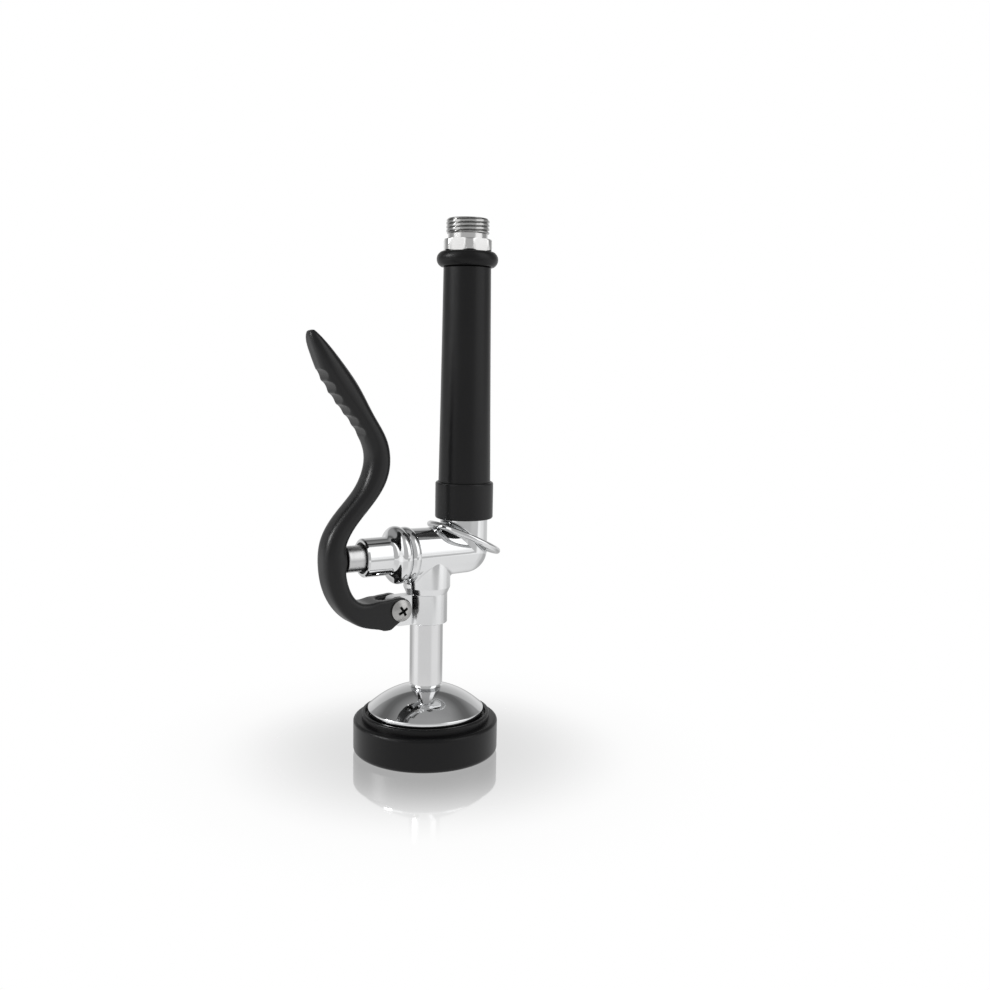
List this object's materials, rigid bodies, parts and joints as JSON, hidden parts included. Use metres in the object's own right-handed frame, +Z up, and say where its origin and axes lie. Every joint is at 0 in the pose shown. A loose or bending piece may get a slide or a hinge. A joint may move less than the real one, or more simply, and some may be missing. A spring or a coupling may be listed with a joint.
{
  "type": "pre-rinse spray valve",
  "caption": "Hand-held pre-rinse sprayer: threaded inlet over a long black grip, chromed elbow valve, S-shaped squeeze lever, outlet tube and dome spray head with a rubber bumper.",
  "frame": {"origin": "on the outlet axis in the plane of the bumper's foot", "axes": "+Z up along the outlet axis and parallel to the grip; +X from the outlet axis towards the grip, so that the squeeze lever lies on the -X side; the lever's pivot is parallel to Y"},
  "size_m": [0.1012, 0.072, 0.2622],
  "materials": {
    "chrome": "polished chrome plate",
    "satin_chrome": "satin chrome plate",
    "satin_nickel": "satin nickel plate",
    "satin_steel": "turned stainless steel",
    "brass": "bare machined brass",
    "black_plastic": "satin black moulding",
    "black_rubber": "matte black rubber"
  },
  "bodies": {
    "sprayer": {"bumper_ring": "black_rubber", "spray_bell": "chrome", "bell_seal": "black_rubber", "spray_face": "satin_steel", "face_seal": "black_rubber", "face_screw": "satin_steel", "outlet_tube": "satin_chrome", "outlet_seal": "black_rubber", "lever_bracket": "chrome", "valve_body": "chrome", "valve_seat": "brass", "bonnet": "chrome", "bonnet_seal": "black_rubber", "plunger_wiper": "black_rubber", "plunger_seal": "black_rubber", "return_spring": "satin_steel", "grip_tube": "brass", "neck_seal": "black_rubber", "grip_sleeve": "black_plastic", "grip_cuff": "black_plastic", "grip_bead": "black_rubber", "inlet_nipple": "satin_nickel", "nipple_seal": "black_rubber", "inlet_washer": "black_rubber"},
    "lever": {"lever": "black_plastic", "pivot_screw": "satin_steel", "pivot_nut": "satin_steel"},
    "plunger": {"plunger": "satin_steel", "valve_stem": "brass", "seat_washer": "black_rubber", "disc_holder": "brass", "disc_nut": "brass"},
    "hold_down_ring": {"hold_down_ring": "chrome"}
  },
  "joints": [
    {"name": "lever_pivot", "type": "hinge", "parent": "sprayer", "child": "lever", "pos_m": [-0.018, 0, 0.0742], "axis": [0, 1, 0], "range_deg": [0, 15]},
    {"name": "plunger_slide", "type": "slide", "parent": "sprayer", "child": "plunger", "axis": [1, 0, 0], "range_m": [0, 0.0079], "stiffness_N_per_m": 200, "springref_m": -0.005, "deforming": ["return_spring"]},
    {"name": "hold_down_ring_slide", "type": "slide", "parent": "sprayer", "child": "hold_down_ring", "axis": [0, 0, 1], "range_m": [0, 0.115]}
  ],
  "couplings": [
    {"joint": "plunger_slide", "follows": "lever_pivot", "m_per_rad": 0.0298}
  ]
}
